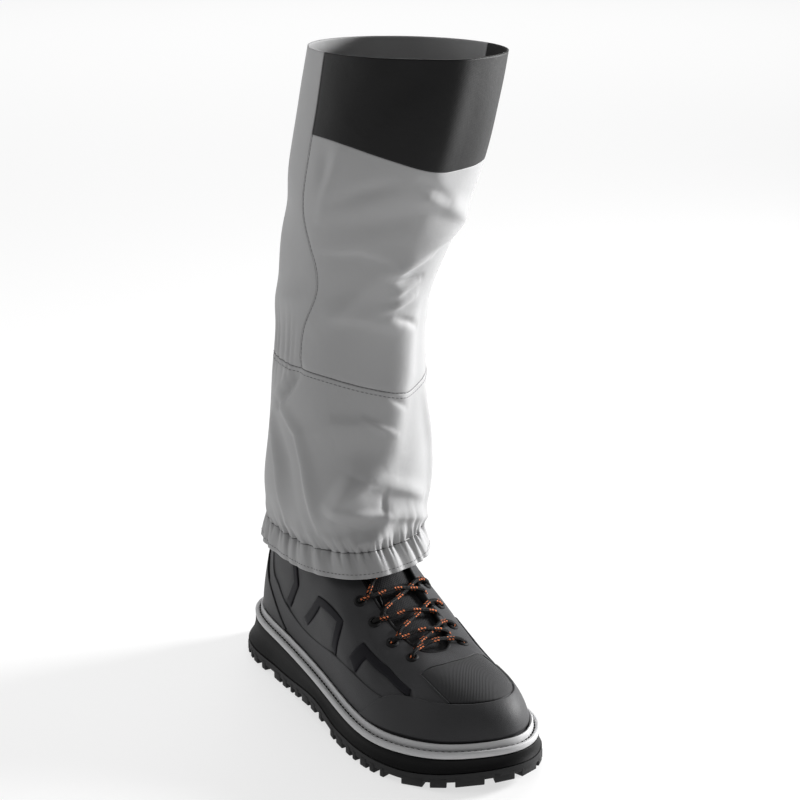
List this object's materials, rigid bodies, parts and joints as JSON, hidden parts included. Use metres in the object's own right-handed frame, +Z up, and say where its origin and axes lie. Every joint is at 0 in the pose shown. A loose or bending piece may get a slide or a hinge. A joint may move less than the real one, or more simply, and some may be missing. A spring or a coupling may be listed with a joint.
{
  "type": "breathable wader leg with wading boot",
  "caption": "Right lace-up wading boot with a lugged sole, and the gathered cloth leg of a breathable wader worn over its collar, up to the knee.",
  "frame": {"origin": "on the floor under the middle of the part's outline in plan", "axes": "+Z up the leg, +X towards the toe, -Y towards the outer side of the right foot"},
  "size_m": [0.3192, 0.1524, 0.4753],
  "materials": {
    "tread_rubber": "matt",
    "black_rubber": "matt",
    "grey_welt": "satin",
    "insole_foam": "matt",
    "charcoal_upper": "matt coated",
    "tongue_fabric": "matt",
    "lace_cord": "matt, flecked with orange",
    "grey_cloth": "matt coated cloth",
    "black_cloth": "matt coated cloth"
  },
  "bodies": {
    "root": {"outsole": "tread_rubber", "midsole": "black_rubber", "welt": "grey_welt", "insole": "insole_foam", "upper": "charcoal_upper", "toe_cap": "charcoal_upper", "heel_counter": "charcoal_upper", "tongue": "tongue_fabric", "eyelet_outer_1": "charcoal_upper", "eyelet_outer_2": "charcoal_upper", "eyelet_outer_3": "charcoal_upper", "eyelet_outer_4": "charcoal_upper", "eyelet_outer_5": "charcoal_upper", "eyelet_inner_1": "charcoal_upper", "eyelet_inner_2": "charcoal_upper", "eyelet_inner_3": "charcoal_upper", "eyelet_inner_4": "charcoal_upper", "eyelet_inner_5": "charcoal_upper", "lace": "lace_cord", "hem_cuff": "grey_cloth", "lower_leg": "grey_cloth", "front_panel": "grey_cloth", "back_panel": "grey_cloth", "knee_panel": "black_cloth"}
  },
  "joints": []
}
